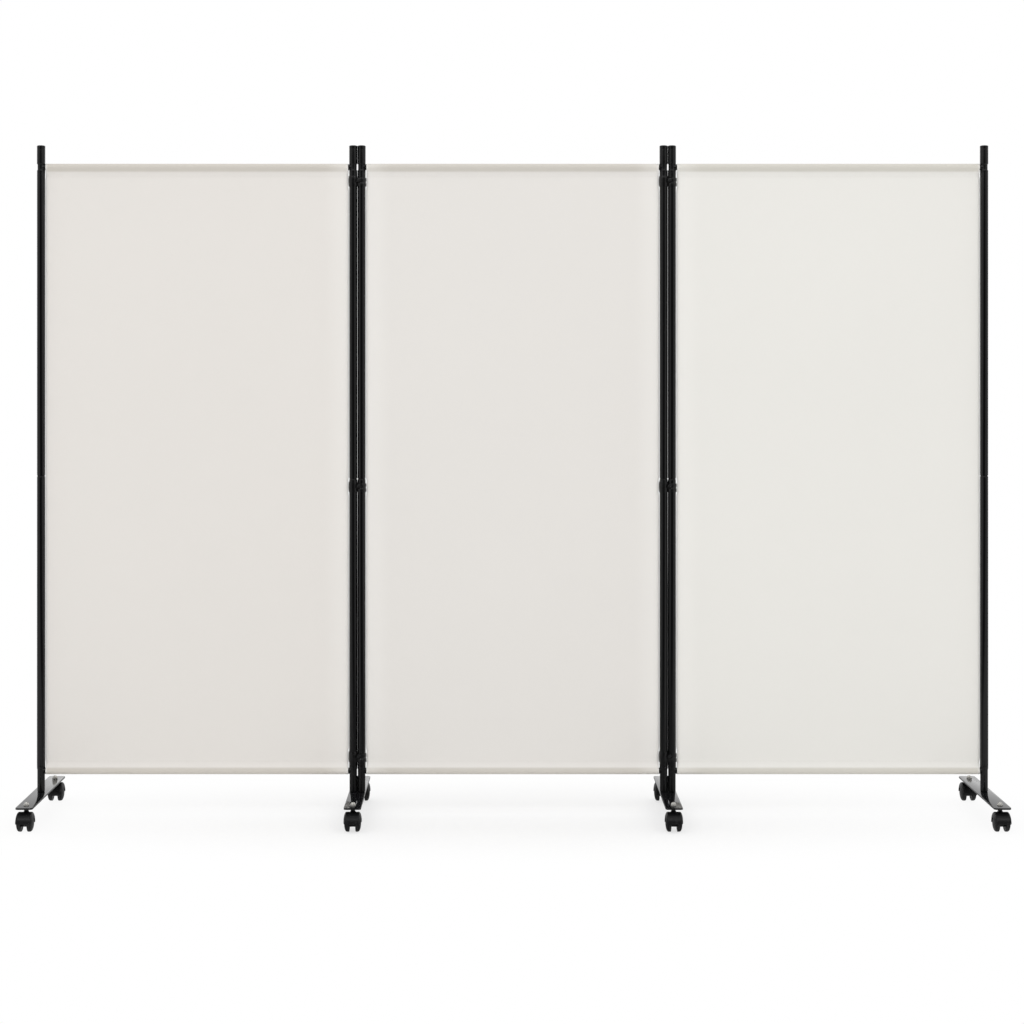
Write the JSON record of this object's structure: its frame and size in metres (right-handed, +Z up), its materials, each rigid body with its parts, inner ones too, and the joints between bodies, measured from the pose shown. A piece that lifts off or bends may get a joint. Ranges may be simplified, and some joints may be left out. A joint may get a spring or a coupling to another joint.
{
  "type": "privacy screen",
  "caption": "Folding privacy screen: cloth panels stretched between steel poles, hinged pairwise by clips, standing on flat foot plates with twin-wheel swivel casters.",
  "frame": {"origin": "on the floor, at the middle of the screen's footprint", "axes": "+Z up, panels along X, front towards -Y, foot plates along Y"},
  "size_m": [2.583, 0.4236, 1.803],
  "materials": {
    "cream_cloth": "taut plain-weave polyester",
    "black_tube": "satin black powder coat",
    "gloss_plate": "gloss black enamel",
    "black_plastic": "moulded black plastic",
    "caster_plastic": "moulded black nylon"
  },
  "bodies": {
    "centre_panel": {"centre_cloth": "cream_cloth", "centre_top_rod": "black_tube", "centre_bottom_rod": "black_tube", "centre_left_top_cap": "black_plastic", "centre_left_upper_tube": "black_tube", "centre_left_lower_tube": "black_tube", "centre_left_leg": "black_plastic", "centre_right_top_cap": "black_plastic", "centre_right_upper_tube": "black_tube", "centre_right_lower_tube": "black_tube", "centre_right_leg": "black_plastic"},
    "left_middle_stand": {"left_middle_foot": "gloss_plate", "left_top_clip": "black_plastic", "left_middle_clip": "black_plastic", "left_bottom_clip": "black_plastic"},
    "left_panel": {"left_cloth": "cream_cloth", "left_top_rod": "black_tube", "left_bottom_rod": "black_tube", "left_inner_top_cap": "black_plastic", "left_inner_upper_tube": "black_tube", "left_inner_lower_tube": "black_tube", "left_inner_leg": "black_plastic", "left_outer_top_cap": "black_plastic", "left_outer_upper_tube": "black_tube", "left_outer_lower_tube": "black_tube", "left_outer_leg": "black_plastic"},
    "left_outer_stand": {"left_outer_foot": "gloss_plate"},
    "right_middle_stand": {"right_middle_foot": "gloss_plate", "right_top_clip": "black_plastic", "right_middle_clip": "black_plastic", "right_bottom_clip": "black_plastic"},
    "right_panel": {"right_cloth": "cream_cloth", "right_top_rod": "black_tube", "right_bottom_rod": "black_tube", "right_inner_top_cap": "black_plastic", "right_inner_upper_tube": "black_tube", "right_inner_lower_tube": "black_tube", "right_inner_leg": "black_plastic", "right_outer_top_cap": "black_plastic", "right_outer_upper_tube": "black_tube", "right_outer_lower_tube": "black_tube", "right_outer_leg": "black_plastic"},
    "right_outer_stand": {"right_outer_foot": "gloss_plate"},
    "left_outer_front_fork": {"left_outer_front_caster_hood": "caster_plastic"},
    "left_outer_front_wheels": {"left_outer_front_caster_wheels": "caster_plastic"},
    "left_outer_back_fork": {"left_outer_back_caster_hood": "caster_plastic"},
    "left_outer_back_wheels": {"left_outer_back_caster_wheels": "caster_plastic"},
    "left_middle_front_fork": {"left_middle_front_caster_hood": "caster_plastic"},
    "left_middle_front_wheels": {"left_middle_front_caster_wheels": "caster_plastic"},
    "left_middle_back_fork": {"left_middle_back_caster_hood": "caster_plastic"},
    "left_middle_back_wheels": {"left_middle_back_caster_wheels": "caster_plastic"},
    "right_middle_front_fork": {"right_middle_front_caster_hood": "caster_plastic"},
    "right_middle_front_wheels": {"right_middle_front_caster_wheels": "caster_plastic"},
    "right_middle_back_fork": {"right_middle_back_caster_hood": "caster_plastic"},
    "right_middle_back_wheels": {"right_middle_back_caster_wheels": "caster_plastic"},
    "right_outer_front_fork": {"right_outer_front_caster_hood": "caster_plastic"},
    "right_outer_front_wheels": {"right_outer_front_caster_wheels": "caster_plastic"},
    "right_outer_back_fork": {"right_outer_back_caster_hood": "caster_plastic"},
    "right_outer_back_wheels": {"right_outer_back_caster_wheels": "caster_plastic"}
  },
  "joints": [
    {"name": "left_middle_pivot", "type": "hinge", "parent": "centre_panel", "child": "left_middle_stand", "pos_m": [-0.4063, 0, 0.06446], "axis": [0, 0, 1], "range_deg": [-45, 72]},
    {"name": "left_panel_pivot", "type": "hinge", "parent": "left_middle_stand", "child": "left_panel", "pos_m": [-0.4286, 0, 0.06446], "axis": [0, 0, 1], "range_deg": [-45, 72]},
    {"name": "left_outer_pivot", "type": "hinge", "parent": "left_panel", "child": "left_outer_stand", "pos_m": [-1.2685, 0, 0.06446], "axis": [0, 0, 1], "range_deg": [-90, 90]},
    {"name": "right_middle_pivot", "type": "hinge", "parent": "centre_panel", "child": "right_middle_stand", "pos_m": [0.4063, 0, 0.06446], "axis": [0, 0, 1], "range_deg": [-45, 72]},
    {"name": "right_panel_pivot", "type": "hinge", "parent": "right_middle_stand", "child": "right_panel", "pos_m": [0.4286, 0, 0.06446], "axis": [0, 0, 1], "range_deg": [-45, 72]},
    {"name": "right_outer_pivot", "type": "hinge", "parent": "right_panel", "child": "right_outer_stand", "pos_m": [1.2685, 0, 0.06446], "axis": [0, 0, 1], "range_deg": [-90, 90]},
    {"name": "left_outer_front_swivel", "type": "hinge", "parent": "left_outer_stand", "child": "left_outer_front_fork", "pos_m": [-1.2685, -0.171, 0.0455], "axis": [0, 0, 1], "continuous": true},
    {"name": "left_outer_front_roll", "type": "hinge", "parent": "left_outer_front_fork", "child": "left_outer_front_wheels", "pos_m": [-1.2685, -0.184, 0.0235], "axis": [1, 0, 0], "continuous": true},
    {"name": "left_outer_back_swivel", "type": "hinge", "parent": "left_outer_stand", "child": "left_outer_back_fork", "pos_m": [-1.2685, 0.171, 0.0455], "axis": [0, 0, 1], "continuous": true},
    {"name": "left_outer_back_roll", "type": "hinge", "parent": "left_outer_back_fork", "child": "left_outer_back_wheels", "pos_m": [-1.2685, 0.184, 0.0235], "axis": [1, 0, 0], "continuous": true},
    {"name": "left_middle_front_swivel", "type": "hinge", "parent": "left_middle_stand", "child": "left_middle_front_fork", "pos_m": [-0.41745, -0.171, 0.0455], "axis": [0, 0, 1], "continuous": true},
    {"name": "left_middle_front_roll", "type": "hinge", "parent": "left_middle_front_fork", "child": "left_middle_front_wheels", "pos_m": [-0.41745, -0.184, 0.0235], "axis": [1, 0, 0], "continuous": true},
    {"name": "left_middle_back_swivel", "type": "hinge", "parent": "left_middle_stand", "child": "left_middle_back_fork", "pos_m": [-0.41745, 0.171, 0.0455], "axis": [0, 0, 1], "continuous": true},
    {"name": "left_middle_back_roll", "type": "hinge", "parent": "left_middle_back_fork", "child": "left_middle_back_wheels", "pos_m": [-0.41745, 0.184, 0.0235], "axis": [1, 0, 0], "continuous": true},
    {"name": "right_middle_front_swivel", "type": "hinge", "parent": "right_middle_stand", "child": "right_middle_front_fork", "pos_m": [0.41745, -0.171, 0.0455], "axis": [0, 0, 1], "continuous": true},
    {"name": "right_middle_front_roll", "type": "hinge", "parent": "right_middle_front_fork", "child": "right_middle_front_wheels", "pos_m": [0.41745, -0.184, 0.0235], "axis": [1, 0, 0], "continuous": true},
    {"name": "right_middle_back_swivel", "type": "hinge", "parent": "right_middle_stand", "child": "right_middle_back_fork", "pos_m": [0.41745, 0.171, 0.0455], "axis": [0, 0, 1], "continuous": true},
    {"name": "right_middle_back_roll", "type": "hinge", "parent": "right_middle_back_fork", "child": "right_middle_back_wheels", "pos_m": [0.41745, 0.184, 0.0235], "axis": [1, 0, 0], "continuous": true},
    {"name": "right_outer_front_swivel", "type": "hinge", "parent": "right_outer_stand", "child": "right_outer_front_fork", "pos_m": [1.2685, -0.171, 0.0455], "axis": [0, 0, 1], "continuous": true},
    {"name": "right_outer_front_roll", "type": "hinge", "parent": "right_outer_front_fork", "child": "right_outer_front_wheels", "pos_m": [1.2685, -0.184, 0.0235], "axis": [1, 0, 0], "continuous": true},
    {"name": "right_outer_back_swivel", "type": "hinge", "parent": "right_outer_stand", "child": "right_outer_back_fork", "pos_m": [1.2685, 0.171, 0.0455], "axis": [0, 0, 1], "continuous": true},
    {"name": "right_outer_back_roll", "type": "hinge", "parent": "right_outer_back_fork", "child": "right_outer_back_wheels", "pos_m": [1.2685, 0.184, 0.0235], "axis": [1, 0, 0], "continuous": true}
  ]
}
